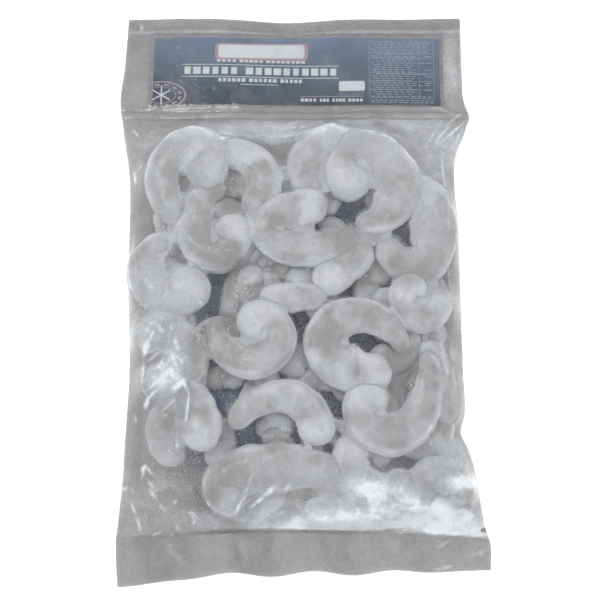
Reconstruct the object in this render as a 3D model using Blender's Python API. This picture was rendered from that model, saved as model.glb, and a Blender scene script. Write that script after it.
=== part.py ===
"""A sealed clear bag of frozen peeled prawns, lying on its back with the header card up.

The bag is one closed solid out to its film: a thin header, a body whose top is the film
stretched over the curled prawns, folded sides and a flat sealed flange at the foot.
The header card is a thin plate that lies on the header.
All lengths are in millimetres until a mesh is written, and +Y points to the header.
"""

import math
from collections import namedtuple

import bmesh
import bpy
import numpy as np

MM = 0.001

# The film: how thick the sealed header and flange lie, and where the side folds run
FILM_STACK = 1.2
FOLD_HEIGHT = 5.0
FOLD_RUN = 22.0
TOP_SEAL = 111.5
FOOT_SEAL = -154.0
FOOT_SEAL_DROOP = 6.0

# The cut edges at the head and foot: the head's sags in its middle, and the foot's is wavy
# and drawn out at the left corner
FILM_WIDTH = 226.0
HEAD_CUT = 182.75
HEAD_SLANT = 0.018
HEAD_SAG = 2.8
HEAD_SAG_RUN = 28.0
FOOT_CUT = -179.2
FOOT_WAVE = 1.3
FOOT_CORNER = 5.6

# The edges of the flat film, as (y, x) stations up each side
LEFT_EDGE = (
    (-185, -111.5), (-160, -113), (-130, -109.5), (-94, -107.7), (-60, -105.9), (0, -107.7),
    (80, -109), (107, -113.5), (123, -115.85), (151, -113.5), (184, -111.6),
)
RIGHT_EDGE = (
    (-182, 114), (-164, 114.8), (-152, 111.5), (-135, 108.6), (-120, 106.8), (-106, 103),
    (-97, 99.1), (-86, 102), (-60, 102.5), (0, 103.4), (40, 104), (60, 103), (82, 104.9),
    (96, 110.8), (104, 113.8), (110, 116), (116, 114.6), (123, 112.9), (140, 112.6),
    (181, 113.2),
)

# The slow waves in the header and flange, which lie on the table under their own stiffness
HEADER_WAVE = 1.3
HEADER_WAVE_LENGTH = 92.0
FLANGE_WAVE = 2.1
FLANGE_WAVE_LENGTH = 50.0

# The header card
CARD_WIDTH = 193.0
CARD_DEPTH = 48.5
CARD_CENTRE = (1.5, 145.3)
CARD_TURN = -1.2
CARD_THICKNESS = 0.4
CARD_GAP = 0.35

# Cells of the two meshes. The bag's underside is cut four times as coarse as its top.
BAG_CELLS = (52, 84)
UNDER_STEP = 4
CARD_CELLS = (44, 10)

# How far a free point of the film is pulled below its neighbours, for each square millimetre
# of its cell, and how often the film is let settle
FILM_PULL = 0.016
SETTLE_ROUNDS = 500

# Each prawn is a curled tube: the centre and radius of its curl, the angle of its head,
# how far round it goes, the half-widths of head and tail, and the height of its middle.
# tuck draws the head into the curl, flare lets the tail stand out, squeeze flattens the curl.
Prawn = namedtuple("Prawn", "x y radius start sweep head tail level tuck flare squeeze",
                   defaults=(26, 0, 0, 1))
PRAWNS = (
    Prawn(-62, 63, 21, 18, 205, 12, 9, 24, 0.52, 0.25, 1.1),
    Prawn(-33.5, 69, 15.5, 95, -170, 9, 8, 22),
    Prawn(-50.5, 35, 15, -20, -285, 12, 8, 23, 0.2, 0.1),
    Prawn(5.5, 30, 23, 62, 285, 10.5, 8, 26, 0, 0.25, 0.58),
    Prawn(23.5, 69, 18, 89, 164, 11, 10, 20),
    Prawn(43.5, 56, 25, 138, -225, 12.5, 6.5, 26, 0.5, 0.2),
    Prawn(73, 28, 17.5, 66, -216, 9.5, 9, 21, 0, 0, 1.45),
    Prawn(6.5, 44, 48, -72, 42, 11, 8, 22),
    Prawn(-1.5, -63, 51, 106, -34, 7.5, 7.5, 24),
    Prawn(-31.5, -36.5, 19, 62, -250, 12, 6.5, 26, 0.5, 0.2),
    Prawn(35, -41.7, 22.5, -52, -315, 12, 6.5, 26, 0, 0.2, 0.9),
    Prawn(76.5, -18, 10.8, 150, 210, 8.5, 7.5, 22),
    Prawn(-77.5, 6, 16.5, -38, -205, 13.5, 8, 23),
    Prawn(-80.5, -49, 17, 125, -234, 10, 9, 20),
    Prawn(-66.5, -92, 17, 100, 130, 9, 8.5, 19),
    Prawn(-80, -88, 22, -16, 66, 11.5, 9, 23),
    Prawn(-8.5, -93, 22, 170, -175, 9.5, 9, 24),
    Prawn(54, -80, 19, 160, 246, 12, 8, 25, 0.25, 0.75),
    Prawn(-15.5, -125, 32, 212, -192, 11, 10, 23, 0, 0, 0.42),
    Prawn(45.5, -114, 17, 151, 163, 10, 9, 21),
    Prawn(51.5, -75, 42, 46, -58, 8, 8, 18),
    Prawn(28, -165, 30, 125, -70, 7.5, 6.5, 15),
    Prawn(81.5, -135, 15, 170, -150, 10, 8, 17),
)
HEAD_LENGTH = 0.3
TAIL_LENGTH = 0.35
CENTRELINE_POINTS = 36


def through(stations, at):
    """A smooth edge: a cubic through the stations, whose slope at each is that of its chord."""
    where, value = np.array(stations, float).T
    slope = np.gradient(value, where)
    k = np.clip(np.searchsorted(where, at) - 1, 0, len(where) - 2)
    span = where[k + 1] - where[k]
    t = np.clip((at - where[k]) / span, 0, 1)
    return ((1 + 2 * t) * (1 - t) ** 2 * value[k] + t * (1 - t) ** 2 * span * slope[k]
            + t * t * (3 - 2 * t) * value[k + 1] + t * t * (t - 1) * span * slope[k + 1])


def ease(t):
    """A rise from 0 to 1 with level ends."""
    t = np.clip(t, 0, 1)
    return t * t * (3 - 2 * t)


def head_edge(x):
    """The cut edge above the card: a straight cut that sags a little in its middle."""
    return HEAD_CUT - HEAD_SLANT * x - HEAD_SAG * np.exp(-(x / HEAD_SAG_RUN) ** 2)


def foot_edge(x):
    """The cut edge of the flange: a straight cut in slow waves, drawn out at the left corner."""
    waves = FOOT_WAVE * np.cos(math.tau * (x - 5) / FLANGE_WAVE_LENGTH)
    fade = np.exp(-(x / (FILM_WIDTH / 3)) ** 4)
    return FOOT_CUT + waves * fade - FOOT_CORNER * ease(-2 * x / FILM_WIDTH * 1.8 - 0.8)


def foot_seal(x):
    """The flange's inner seal line, which droops towards the right corner."""
    return FOOT_SEAL - FOOT_SEAL_DROOP * np.clip(4 * x / FILM_WIDTH - 1, 0, 1) ** 2


def film_grid(cells):
    """Points of the flat film: u runs between the side edges, v between the foot and the head."""
    u, v = np.meshgrid(np.linspace(0, 1, cells[0] + 1), np.linspace(0, 1, cells[1] + 1))
    across = (u - 0.5) * FILM_WIDTH
    y = foot_edge(across) + (head_edge(across) - foot_edge(across)) * v
    left = through(LEFT_EDGE, y)
    right = through(RIGHT_EDGE, y)
    return left + (right - left) * u, y


def lay(x, y):
    """Height of the header's and flange's upper face: the film stack in slow waves."""
    header = (1 + np.sin(math.tau * x / HEADER_WAVE_LENGTH + y / 30)) / 2
    flange = (1 + np.cos(math.tau * x / FLANGE_WAVE_LENGTH + y / 40)) / 2
    return FILM_STACK + np.where(y > 0, HEADER_WAVE * header, FLANGE_WAVE * flange)


def in_body(x, y):
    """1 in the filled body, 0 past its seals, rising over the run of the fold."""
    return ease((TOP_SEAL - y) / FOLD_RUN) * ease((y - foot_seal(x)) / FOLD_RUN)


def centreline(prawn):
    """A curl: its radius is tucked in at the head and let out at the tail. Gives x, y, width."""
    t = np.linspace(0, 1, CENTRELINE_POINTS)
    angle = np.radians(prawn.start + prawn.sweep * t)
    tucked = prawn.tuck * np.clip(1 - t / HEAD_LENGTH, 0, 1) ** 2
    flared = prawn.flare * np.clip((t - 1 + TAIL_LENGTH) / TAIL_LENGTH, 0, 1) ** 2
    radius = prawn.radius * (1 - tucked + flared)
    x = prawn.x + radius * np.cos(angle)
    y = prawn.y + radius * np.sin(angle) * prawn.squeeze
    return x, y, prawn.head + (prawn.tail - prawn.head) * t ** 1.6


def prawn_tops(x, y):
    """Height of the highest prawn over each point, and zero where there is none."""
    top = np.zeros_like(x)
    for prawn in PRAWNS:
        for px, py, width in zip(*centreline(prawn)):
            inside = width ** 2 - (x - px) ** 2 - (y - py) ** 2
            dome = prawn.level + np.sqrt(np.maximum(inside, 0))
            top = np.maximum(top, np.where(inside > 0, dome, 0))
    return top


def film_heights(x, y):
    """Film drawn onto the prawns: each free point lies a little below the mean of its four
    neighbours, or on a prawn's top where that is higher, and the seals and edges are held."""
    body = in_body(x, y)
    resting = lay(x, y) * (1 - body) + (FOLD_HEIGHT + FILM_STACK) * body
    free = (y < TOP_SEAL) & (y > foot_seal(x))
    free[[0, -1], :] = False
    free[:, [0, -1]] = False
    tops = np.where(free, prawn_tops(x, y), 0)
    z = np.maximum(resting, tops)
    cell_area = np.ptp(x) * np.ptp(y) / ((x.shape[0] - 1) * (x.shape[1] - 1))
    for _ in range(SETTLE_ROUNDS):
        mean = (z[:-2, 1:-1] + z[2:, 1:-1] + z[1:-1, :-2] + z[1:-1, 2:]) / 4
        pulled = np.maximum(mean - FILM_PULL * cell_area, np.maximum(resting, tops)[1:-1, 1:-1])
        z[1:-1, 1:-1] = np.where(free[1:-1, 1:-1], pulled, z[1:-1, 1:-1])
    return z


def rim_order(nu, nv):
    """The grid's border as (row, column), once round from the near left corner."""
    near = [(0, i) for i in range(nu)]
    right = [(j, nu) for j in range(nv)]
    far = [(nv, i) for i in range(nu, 0, -1)]
    left = [(j, 0) for j in range(nv, 0, -1)]
    return near + right + far + left


def cell_faces(nu, nv):
    """The grid's cells as rings of point numbers, row by row, facing up."""
    row = nu + 1
    return [(j * row + i, j * row + i + 1, (j + 1) * row + i + 1, (j + 1) * row + i)
            for j in range(nv) for i in range(nu)]


def as_points(x, y, z):
    """A grid's points as a list, row by row."""
    return [tuple(p) for p in np.stack([x, y, z], axis=-1).reshape(-1, 3)]


def new_object(name, points, faces, material):
    """A named object from points in millimetres, shaded smooth but for its sharp edges."""
    mesh = bpy.data.meshes.new(name)
    mesh.from_pydata([tuple(c * MM for c in p) for p in points], [], faces)
    shell = bmesh.new()
    shell.from_mesh(mesh)
    bmesh.ops.recalc_face_normals(shell, faces=shell.faces)
    shell.to_mesh(mesh)
    shell.free()
    mesh.shade_smooth()
    mesh.set_sharp_from_angle(angle=math.radians(50))
    mesh.materials.append(material)
    piece = bpy.data.objects.new(name, mesh)
    bpy.context.scene.collection.objects.link(piece)
    return piece


def principled(name, colour, roughness):
    """A plain finish for one sub-part."""
    material = bpy.data.materials.new(name)
    material.use_nodes = True
    shader = material.node_tree.nodes["Principled BSDF"]
    shader.inputs["Base Color"].default_value = (*colour, 1)
    shader.inputs["Roughness"].default_value = roughness
    shader.inputs["Metallic"].default_value = 0
    return material


def build_bag():
    """The filled bag: the film's upper face, a coarse flat underside and a thin rim between."""
    nu, nv = BAG_CELLS
    x, y = film_grid(BAG_CELLS)
    points = as_points(x, y, film_heights(x, y))
    faces = cell_faces(nu, nv)

    rim = rim_order(nu, nv)
    lifted = FOLD_HEIGHT * in_body(x, y)
    inner = [(j, i) for j in range(UNDER_STEP, nv, UNDER_STEP) for i in range(UNDER_STEP, nu, UNDER_STEP)]
    under = {cell: len(points) + k for k, cell in enumerate(rim + inner)}
    points += [(x[cell], y[cell], lifted[cell]) for cell in rim]
    points += [(x[cell], y[cell], 0) for cell in inner]
    faces += [(a[0] * (nu + 1) + a[1], under[a], under[b], b[0] * (nu + 1) + b[1])
              for a, b in zip(rim, rim[1:] + rim[:1])]
    for j0 in range(0, nv, UNDER_STEP):
        for i0 in range(0, nu, UNDER_STEP):
            ring = [(j0 + j, i0 + i) for j, i in rim_order(UNDER_STEP, UNDER_STEP)]
            faces.append([under[cell] for cell in ring if cell in under][::-1])
    return new_object("prawn_bag", points, faces, principled("frosted film", (0.55, 0.56, 0.58), 0.3))


def build_card():
    """The header card: a thin plate that follows the header's waves just above it."""
    nu, nv = CARD_CELLS
    turn = math.radians(CARD_TURN)
    a, b = np.meshgrid(np.linspace(-0.5, 0.5, nu + 1) * CARD_WIDTH,
                       np.linspace(-0.5, 0.5, nv + 1) * CARD_DEPTH)
    x = CARD_CENTRE[0] + a * math.cos(turn) - b * math.sin(turn)
    y = CARD_CENTRE[1] + a * math.sin(turn) + b * math.cos(turn)
    low = lay(x, y) + CARD_GAP
    points = as_points(x, y, low) + as_points(x, y, low + CARD_THICKNESS)
    count = x.size
    cells = cell_faces(nu, nv)
    faces = [cell[::-1] for cell in cells] + [tuple(count + k for k in cell) for cell in cells]
    rim = [j * (nu + 1) + i for j, i in rim_order(nu, nv)]
    faces += [(p, q, count + q, count + p) for p, q in zip(rim, rim[1:] + rim[:1])]
    return new_object("label_card", points, faces, principled("printed card", (0.035, 0.055, 0.095), 0.45))


for old in list(bpy.data.objects):
    bpy.data.objects.remove(old)
build_bag()
build_card()
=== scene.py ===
"""A sealed clear bag of frozen peeled prawns, lying on its back with the header card up.

Lengths are in millimetres until a mesh is written. +Y points to the header and +Z up.
"""

import math
from collections import namedtuple

import bpy
import numpy as np
from mathutils import Matrix, Vector


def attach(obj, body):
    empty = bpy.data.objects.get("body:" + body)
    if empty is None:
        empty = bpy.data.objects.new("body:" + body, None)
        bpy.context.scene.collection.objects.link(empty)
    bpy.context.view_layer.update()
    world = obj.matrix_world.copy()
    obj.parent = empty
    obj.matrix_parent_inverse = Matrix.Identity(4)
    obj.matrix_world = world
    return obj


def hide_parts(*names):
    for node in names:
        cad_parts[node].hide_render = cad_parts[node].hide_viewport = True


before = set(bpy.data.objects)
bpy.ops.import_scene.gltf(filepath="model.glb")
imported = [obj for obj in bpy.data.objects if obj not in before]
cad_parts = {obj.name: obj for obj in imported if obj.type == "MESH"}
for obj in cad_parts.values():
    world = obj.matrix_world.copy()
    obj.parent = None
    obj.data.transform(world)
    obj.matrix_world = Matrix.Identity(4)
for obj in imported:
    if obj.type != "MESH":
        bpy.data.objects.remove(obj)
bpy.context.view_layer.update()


# The view: the camera stands over the pack, tipped up towards the header, as in the photograph.
# The floor is a white acrylic sheet lit a little from below, so the pack throws next to no
# shadow, and the light is soft and comes from above on all sides.

MM = 0.001
CAMERA_AT = (1.5, -101.9, 527.5)
CAMERA_TILT = 9.82
CAMERA_ROLL = 1.0
CAMERA_LENS = 50.0
FLOOR_HALF = 3.0
FLOOR_DROP = 0.2      # just under the pack, whose back lies flat at zero
ROOM_LIGHT = 0.98


def linear(colour):
    """An sRGB hex colour as linear red, green, blue and alpha."""
    parts = [int(colour[k:k + 2], 16) / 255 for k in (1, 3, 5)]
    return (*[c / 12.92 if c <= 0.04045 else ((c + 0.055) / 1.055) ** 2.4 for c in parts], 1)


def node(tree, kind, links={}, **settings):
    """Adds a node: settings are its own properties, links its sockets' values or sources. A
    source that is a node stands for its first output, and a colour is given in hex. A Mix of
    colours takes them at its sockets 6 and 7, and gives its result at its output 2."""
    made = tree.nodes.new("ShaderNode" + kind)
    for name, value in settings.items():
        setattr(made, name, value)
    for socket, value in links.items():
        if isinstance(value, bpy.types.Node):
            value = value.outputs[0]
        if isinstance(value, bpy.types.NodeSocket):
            tree.links.new(value, made.inputs[socket])
        else:
            made.inputs[socket].default_value = linear(value) if isinstance(value, str) else value
    return made


def new_finish(name):
    """A new node material, its tree, and the place on the piece that its patterns read."""
    finish = bpy.data.materials.new(name)
    finish.use_nodes = True
    finish.node_tree.nodes.clear()
    return finish, finish.node_tree, node(finish.node_tree, "TexCoord").outputs["Object"]


def new_piece(name, points, face_sets, finishes, choice=None):
    """A mesh object from points in millimetres and arrays of faces. choice says which of the
    finishes each array has."""
    choice = choice or [0] * len(face_sets)
    corners = np.concatenate([np.ravel(f) for f in face_sets]).astype(np.int32)
    sizes = np.concatenate([np.full(len(f), np.shape(f)[1]) for f in face_sets]).astype(np.int32)
    finish_of = np.concatenate([np.full(len(f), k) for f, k in zip(face_sets, choice)])
    mesh = bpy.data.meshes.new(name)
    mesh.vertices.add(len(points))
    mesh.vertices.foreach_set("co", np.ravel(np.asarray(points, np.float32) * MM))
    mesh.loops.add(len(corners))
    mesh.loops.foreach_set("vertex_index", corners)
    mesh.polygons.add(len(sizes))
    mesh.polygons.foreach_set("loop_start", np.cumsum(sizes, dtype=np.int32) - sizes)
    for finish in finishes:
        mesh.materials.append(finish)
    if len(finishes) > 1:
        mesh.polygons.foreach_set("material_index", finish_of.astype(np.int32))
    mesh.update(calc_edges=True)
    mesh.validate()
    mesh.shade_smooth()
    piece = bpy.data.objects.new(name, mesh)
    bpy.context.scene.collection.objects.link(piece)
    return piece


def soft_box(name, at, size, power, towards=(0, 0, 0.02)):
    """A rectangular area light, in metres and watts, turned to face a point."""
    data = bpy.data.lights.new(name, "AREA")
    data.shape = "RECTANGLE"
    data.size, data.size_y = size
    data.energy = power
    lamp = bpy.data.objects.new(name, data)
    lamp.location = at
    lamp.rotation_euler = (Vector(towards) - Vector(at)).to_track_quat("-Z", "Y").to_euler()
    bpy.context.scene.collection.objects.link(lamp)


camera = bpy.data.objects.new("camera", bpy.data.cameras.new("camera"))
camera.data.lens = CAMERA_LENS
camera.data.clip_start = 0.01
camera.matrix_world = (Matrix.Translation(Vector(CAMERA_AT) * MM)
                       @ Matrix.Rotation(math.radians(CAMERA_TILT), 4, "X")
                       @ Matrix.Rotation(math.radians(-CAMERA_ROLL), 4, "Z"))
bpy.context.scene.collection.objects.link(camera)
bpy.context.scene.camera = camera
bpy.context.scene.view_settings.view_transform = "Standard"

world = bpy.data.worlds.new("white room")
world.use_nodes = True
world.node_tree.nodes["Background"].inputs["Color"].default_value = (1, 1, 1, 1)
world.node_tree.nodes["Background"].inputs["Strength"].default_value = ROOM_LIGHT
bpy.context.scene.world = world
soft_box("window", (-0.38, 0.28, 1.05), (0.14, 0.42), 2.3)
soft_box("overhead", (0.3, -0.3, 1.15), (0.7, 0.7), 1.6)

# Opal acrylic: almost white, with a faint cloud, and a soft light of its own
floor_finish, tree, place = new_finish("opal acrylic floor sheet")
tooth = node(tree, "TexNoise", {"Vector": place, "Scale": 60.0, "Detail": 2.0})
pale = node(tree, "Mix", {0: tooth, 6: "#FCFCFC", 7: "#FEFEFE"}, data_type="RGBA").outputs[2]
opal = node(tree, "BsdfPrincipled", {
    "Base Color": pale, "Roughness": 0.9, "Specular IOR Level": 0.1,
    "Emission Color": "#FFFFFF", "Emission Strength": 0.3})
node(tree, "OutputMaterial", {"Surface": opal})
floor_corners = np.array([(-1, -1), (1, -1), (1, 1), (-1, 1)]) * FLOOR_HALF / MM
floor = new_piece("floor", np.column_stack([floor_corners, np.full(4, -FLOOR_DROP)]),
                  [np.array([(0, 1, 2, 3)])], [floor_finish])


# The prawns: peeled raw tails, curled as they were frozen one by one and dipped in water, so
# each has a blunt head end, a narrow tail, a cut along its back and a white coat of ice.
# They lie loose in two layers. Nothing fixes them but the bag.

# Centre and radius of the curl, the angles it starts at and sweeps, half widths, height of
# its middle, and how far its head is tucked in, its tail let out, its curl pressed flat, and
# its belly swells into the curl
Prawn = namedtuple("Prawn", "x y radius start sweep head tail level tuck flare squeeze belly",
                   defaults=(26, 0, 0, 1, 0.5))
PRAWNS = [Prawn(*sizes) for sizes in (
    (-60, 62.5, 24, 48, 182, 11.5, 9, 24, 0.78, 0.05, 1, 0.1),
    (-39, 60, 20, 88, -124, 9.5, 10.5, 22, 0, 0, 1, 0.2),
    (-50.5, 34, 15, -20, -246, 12, 7, 23, 0.2, 0.1, 1.3),
    (5.5, 28.7, 23.5, 80, 262, 10.5, 7, 26, 0, 0.2, 0.61, 0.45),
    (23.5, 69, 18, 89, 140, 11, 9, 20),
    (43, 54.5, 24.5, 152, -238, 13, 7, 26, 0.6, -0.1, 1, 1.5),
    (73.2, 28, 18, 66, -216, 9.5, 8.5, 21, 0, 0, 1.45, 1.1),
    (0, 42, 48, -66, 28, 10.5, 9.5, 22, 0, 0, 1, 0.2),
    (-2.5, -62, 50, 105, -29, 8, 7.5, 24, 0, 0, 1, 0.35),
    (-29.5, -36.5, 17.5, 62, -258, 12, 5, 26, 0.5, 0.2),
    (35, -41.7, 22.5, -62, -302, 10.5, 5, 26, 0, 0.2, 0.9, 1),
    (76, -16.5, 9.5, 130, 225, 11, 9, 22, 0, 0.1),
    (-77.5, 6, 16.5, -48, -195, 13.5, 8, 23),
    (-81, -49, 16.5, 125, -234, 10, 9, 20),
    (-66.5, -92, 17, 100, 130, 9, 8.5, 19),
    (-80, -88, 22, -16, 66, 11.5, 9, 23),
    (-11.5, -94, 21.5, 2, 158, 10.5, 6.8, 24, 0, 0.2, 1, 0.1),
    (54.7, -80, 19, 160, 246, 12, 6, 25, 0.25, 0.78),
    (-15.5, -125, 32, 212, -192, 11, 10, 23, 0, 0, 0.42),
    (45.5, -114, 17, 151, 163, 10, 9, 21),
    (50, -75, 40, 46, -58, 6.5, 7, 16),
    (28, -165, 30, 125, -70, 7.5, 6.5, 15),
    (81.5, -135, 15, 170, -150, 10, 8, 17),
)]
# Where the coat of ice is thin and grey to brown flesh shows, or below zero where it is thick
# and white: centre, radius and how bare
BARE = (
    (-73, 61, 8, 0.7), (-40, 63, 8, 0.5), (-46, 8, 11, 0.9), (-59, 28, 9, 0.5), (-41, 50, 7, 0.6),
    (33, 25, 8, 0.5), (45, 43, 5, 0.3), (62, 7, 7, 0.25), (-45, -29, 7, 0.8), (15, -39, 9, 0.45),
    (31, -23, 8, 0.2), (56, -104, 4, 0.4), (15.5, -93.5, 6, 0.35), (-44, -117, 10, 0.3),
    (-50, -130, 4, 0.6), (-61, -45, 9, 0.35), (-83, -92, 8, 0.3), (-31, -121, 12, 0.2),
    (60, -50, 9, 0.5), (62, 22, 5, 0.3), (-12, 34, 6, 0.35), (70, -96, 9, 0.2),
    (-12, -76, 12, -0.3), (52, 72, 15, -0.35), (63, 44, 8, -0.3), (88, 2, 9, 0.25),
    (-88, 12, 10, 0.2), (-38, 14, 8, 0.4), (-45, 54, 7, 0.5), (-57, -48, 7, 0.5),
    (-57, -66, 8, 0.4), (60, -57, 10, 0.5), (82, 22, 9, -0.3), (-32, 78, 9, -0.4),
    (-56, -36, 6, 0.6), (64, -3, 9, 0.5), (75, -3, 8, 0.4), (8, -55, 10, -0.35),
    (0, -12, 12, -0.4), (-18, 20, 10, -0.3), (-66, -8, 11, -0.3), (84, -22, 10, -0.4),
)
HEAD_LENGTH = 0.3
TAIL_LENGTH = 0.35
CENTRELINE_POINTS = 36
HEAD_END = 0.95       # length of the round ends, as a share of the half width there
TAIL_END = 1.15
END_POINTS = 13
THICKNESS = 0.84      # of a prawn lying on its side, as a share of its width
PLUMP = 1.04
UNDER_FILM = 0.5      # how far the prawns' tops stay below the film
SEGMENTS = 6
SWELL = 0.035         # how far each segment swells, as a share of the width
CUT_DEPTH = 0.06      # of the cut along the back, and its half width in radians
CUT_HALF = 0.16
NECK = 0.06           # how far the body is drawn in behind its blunt head end
# Layers of lumps in the ice's height and in its whiteness: how much, size, seed and middle
COAT = ((1.6, 11, 40, 0.6), (0.55, 4, 80, 0.5))
PATCHES = ((0.85, 8.5, 120, 0.5), (0.45, 2.6, 160, 0.5))
UPPER_CUT = (84, 44)  # rows along a prawn and points round it
LOWER_CUT = (48, 26)


def ease(t):
    """A rise from 0 to 1 with level ends."""
    t = np.clip(t, 0, 1)
    return t * t * (3 - 2 * t)


def lumps(points, size, seed):
    """Smooth random numbers from 0 to 1: a cube of random values, one each size millimetres,
    blended between its eight nearest corners."""
    table = np.random.default_rng(seed).random((24, 24, 24))
    scaled = np.asarray(points, float) / size + 500
    cell = np.floor(scaled).astype(int)
    fx, fy, fz = np.moveaxis(ease(scaled - cell), -1, 0)
    near, far = np.moveaxis(cell % 24, -1, 0), np.moveaxis((cell + 1) % 24, -1, 0)

    def across(j, k):
        return table[near[0], j, k] * (1 - fx) + table[far[0], j, k] * fx

    low = across(near[1], near[2]) * (1 - fy) + across(far[1], near[2]) * fy
    high = across(near[1], far[2]) * (1 - fy) + across(far[1], far[2]) * fy
    return low * (1 - fz) + high * fz


def how_bare(points):
    """How thin the coat of ice is at points: a round patch about each place in BARE."""
    return sum(bare * np.exp(-((points[..., 0] - x) ** 2 + (points[..., 1] - y) ** 2) / radius ** 2)
               for x, y, radius, bare in BARE)


def centreline(prawn, count=CENTRELINE_POINTS):
    """A curl: its radius is tucked in at the head and let out at the tail. Gives x, y, width."""
    t = np.linspace(0, 1, count)
    angle = np.radians(prawn.start + prawn.sweep * t)
    tucked = prawn.tuck * np.clip(1 - t / HEAD_LENGTH, 0, 1) ** 2
    flared = prawn.flare * np.clip((t - 1 + TAIL_LENGTH) / TAIL_LENGTH, 0, 1) ** 2
    radius = prawn.radius * (1 - tucked + flared)
    x = prawn.x + radius * np.cos(angle)
    y = prawn.y + radius * np.sin(angle) * prawn.squeeze
    return x, y, prawn.head + (prawn.tail - prawn.head) * t ** 1.6


def prawn_flesh(prawn, cut, number, ice):
    """One prawn: an oval carried along its curl and past both ends, where it closes as a ball
    does. The oval swells at each segment, dips along the cut in its back, and is roughened by
    lumps of ice. Gives points, quads, the triangles of its two poles, and how white each is."""
    rows, sides = cut
    x, y, width = centreline(prawn, 160)
    reach = np.linspace(1, 0, END_POINTS + 1)[:-1]
    head, tail = width[0] * HEAD_END * reach, width[-1] * TAIL_END * reach[::-1]
    into, out = np.array([x[1] - x[0], y[1] - y[0]]), np.array([x[-1] - x[-2], y[-1] - y[-2]])
    into, out = into / np.hypot(*into), out / np.hypot(*out)
    x = np.concatenate([x[0] - into[0] * head, x, x[-1] + out[0] * tail])
    y = np.concatenate([y[0] - into[1] * head, y, y[-1] + out[1] * tail])
    width = np.pad(width, END_POINTS, mode="edge")

    run = np.concatenate([[0], np.cumsum(np.hypot(np.diff(x), np.diff(y)))])
    k = np.arange(rows + 1) / rows
    at = run[-1] * (0.45 * k + 0.55 * (1 - np.cos(math.pi * k)) / 2)
    px, py, wide = np.interp(at, run, x), np.interp(at, run, y), np.interp(at, run, width)
    ahead = np.stack([np.gradient(px, at), np.gradient(py, at)])
    ahead /= np.hypot(*ahead)
    turn = np.unwrap(np.arctan2(ahead[1], ahead[0]))
    bend = np.abs(np.gradient(turn, at))
    outward = np.sign(prawn.sweep) * np.stack([ahead[1], -ahead[0]])

    from_head, from_tail = at / (width[0] * HEAD_END), (run[-1] - at) / (width[-1] * TAIL_END)
    round_off = np.sqrt(np.clip(1 - (1 - np.clip(from_head, 0, 1)) ** 2, 0, 1))
    round_off *= np.clip(1 - (1 - np.clip(from_tail, 0, 1)) ** 2, 0, 1) ** 0.62
    wide = wide * PLUMP
    belly = 1 + prawn.belly * ease(from_head - 0.9) * ease(from_tail / 2 - 0.4)
    inner = np.minimum(wide * belly, np.maximum(0.8 / np.maximum(bend, 1e-4), 0.7 * wide))
    inner = np.convolve(np.pad(inner, 4, mode="edge"), np.full(9, 1 / 9), mode="valid")

    around = np.linspace(0, math.tau, sides, endpoint=False)
    roll = math.radians(24 + 22 * math.sin(number * 2.4))
    along, side = np.meshgrid(at, around, indexing="ij")
    col = lambda row: row[:, None]
    swell = (along / run[-1] * (SEGMENTS + 1)) % 1
    swell = SWELL * (np.cos(math.tau * swell) * 0.5 + 0.5) ** 0.7 * (0.6 + 0.4 * np.cos(side))
    cut_depth = CUT_DEPTH * np.exp(-((side - roll) / CUT_HALF) ** 2)
    cut_depth = cut_depth * col(ease(from_head - 1.0) * ease(from_tail / 3 - 0.6))
    neck = NECK * np.exp(-((from_head - 2.1) / 0.34) ** 2)
    shape = col(round_off * (1 - neck)) * (1 + swell - cut_depth)
    flat = lambda wave, power: np.sign(wave) * np.abs(wave) ** power
    reach = np.where(np.cos(side) > 0, col(wide), col(inner)) * flat(np.cos(side), 0.86) * shape
    height = col(wide) * THICKNESS * flat(np.sin(side), 0.8) * shape
    middle = prawn.level + (1 - THICKNESS) * col(wide) - UNDER_FILM
    points = np.stack([col(px) + col(outward[0]) * reach, col(py) + col(outward[1]) * reach,
                       middle + height], axis=-1)
    rough = lambda layers: sum(much * (lumps(points, size, seed + number) - mean)
                               for much, size, seed, mean in layers)
    away = np.stack([col(outward[0]) * np.cos(side), col(outward[1]) * np.cos(side),
                     np.sin(side)], axis=-1)
    points += away * (rough(COAT) * col(round_off ** 2))[..., None]

    # Painted light: the ice is whiter along both sides of each prawn. This is partly thick ice at
    # the edges and partly a painted lift of the shade on the steep sides.
    rim = 0.7 * ease((np.cos(side) - 0.25) / 0.65) + 0.4 * ease((-np.cos(side) - 0.6) / 0.4)
    rim *= 0.15 + 1.3 * ease(1.6 * lumps(points, 16, 200 + number) - 0.35)
    ball = 0.6 * np.exp(-(col(from_head) / 2.0) ** 2.6)
    # Painted shade: the whiteness drops in the groove behind the head and along the cut in the
    # back.
    white = ice + rim + ball + rough(PATCHES) - 3 * cut_depth - 4 * col(neck)
    white = np.clip(white - how_bare(points), 0, 1)

    count = (rows - 1) * sides
    body = points[1:-1].reshape(-1, 3)
    poles = np.array([points[0].mean(axis=0), points[-1].mean(axis=0)])
    ring = np.arange(sides)
    row, ringed = np.meshgrid(np.arange(rows - 2), ring, indexing="ij")
    a, b = row * sides + ringed, row * sides + (ringed + 1) % sides
    quads = np.stack([a, b, b + sides, a + sides], axis=-1).reshape(-1, 4)
    first = np.stack([np.full(sides, count), (ring + 1) % sides, ring], axis=-1)
    last = count - sides + np.stack([ring, (ring + 1) % sides, np.full(sides, sides + 1)], axis=-1)
    if prawn.sweep < 0:
        quads, first, last = quads[:, ::-1], first[:, ::-1], last[:, ::-1]
    return (np.concatenate([body, poles]), quads, np.concatenate([first, last]),
            np.concatenate([white[1:-1].ravel(), white[0, :1], white[-1, :1]]))


def paint(piece, name, values):
    """Gives each point of a piece a number, which its material reads by name."""
    numbers = piece.data.attributes.new(name, "FLOAT", "POINT")
    numbers.data.foreach_set("value", np.asarray(values, np.float32))


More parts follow.
